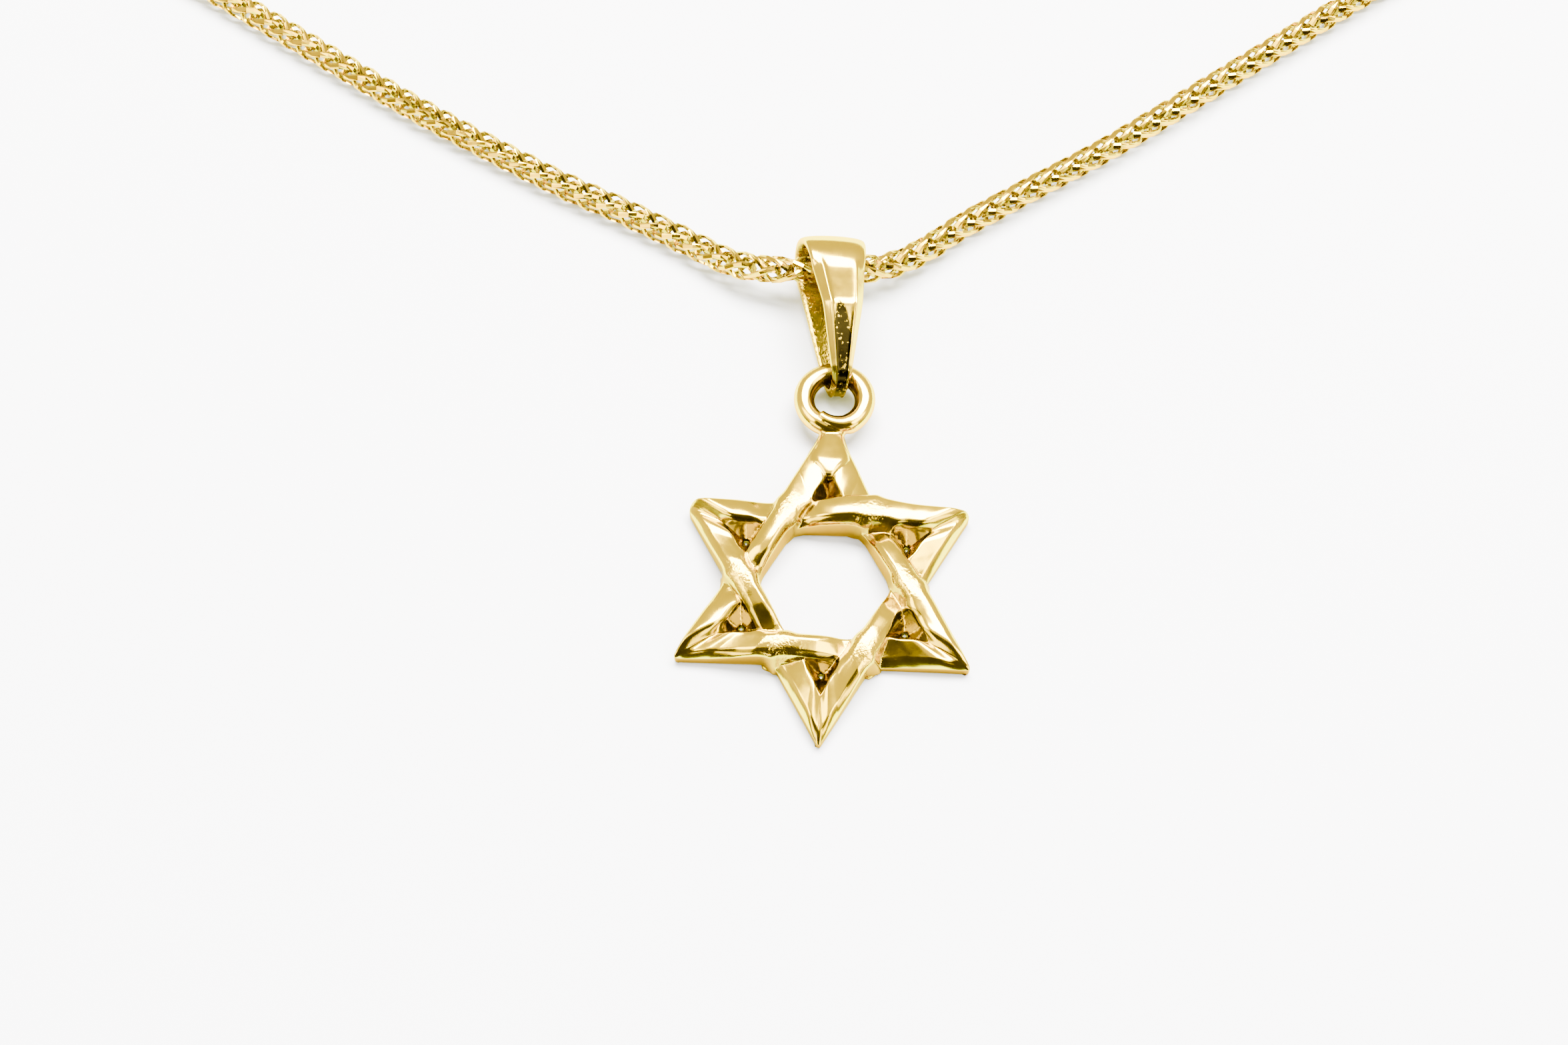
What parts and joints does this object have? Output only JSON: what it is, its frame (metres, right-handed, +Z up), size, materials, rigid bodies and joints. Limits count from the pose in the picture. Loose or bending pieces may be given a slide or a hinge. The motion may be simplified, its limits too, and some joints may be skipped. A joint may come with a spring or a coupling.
{
  "type": "star of david pendant on a round woven chain",
  "caption": "Gold pendant of interlaced triangle bars with a soldered top ring, hung by a tapered strap bail on a closed woven neck chain with a spring ring clasp.",
  "frame": {"origin": "centre of the star on the flat back it lies on", "axes": "+X to the right in the picture, +Y up the pendant towards the bail and along the open necklace, +Z up from the surface it lies on"},
  "size_m": [0.1611, 0.1669, 0.0046],
  "materials": {
    "star_gold": "polished yellow gold",
    "bail_gold": "polished yellow gold",
    "chain_gold": "cut and polished yellow gold",
    "clasp_gold": "polished yellow gold"
  },
  "bodies": {
    "root": {"star": "star_gold", "bail": "bail_gold", "chain": "chain_gold", "end_ring_left": "clasp_gold", "end_ring_right": "clasp_gold", "clasp": "clasp_gold"}
  },
  "joints": []
}
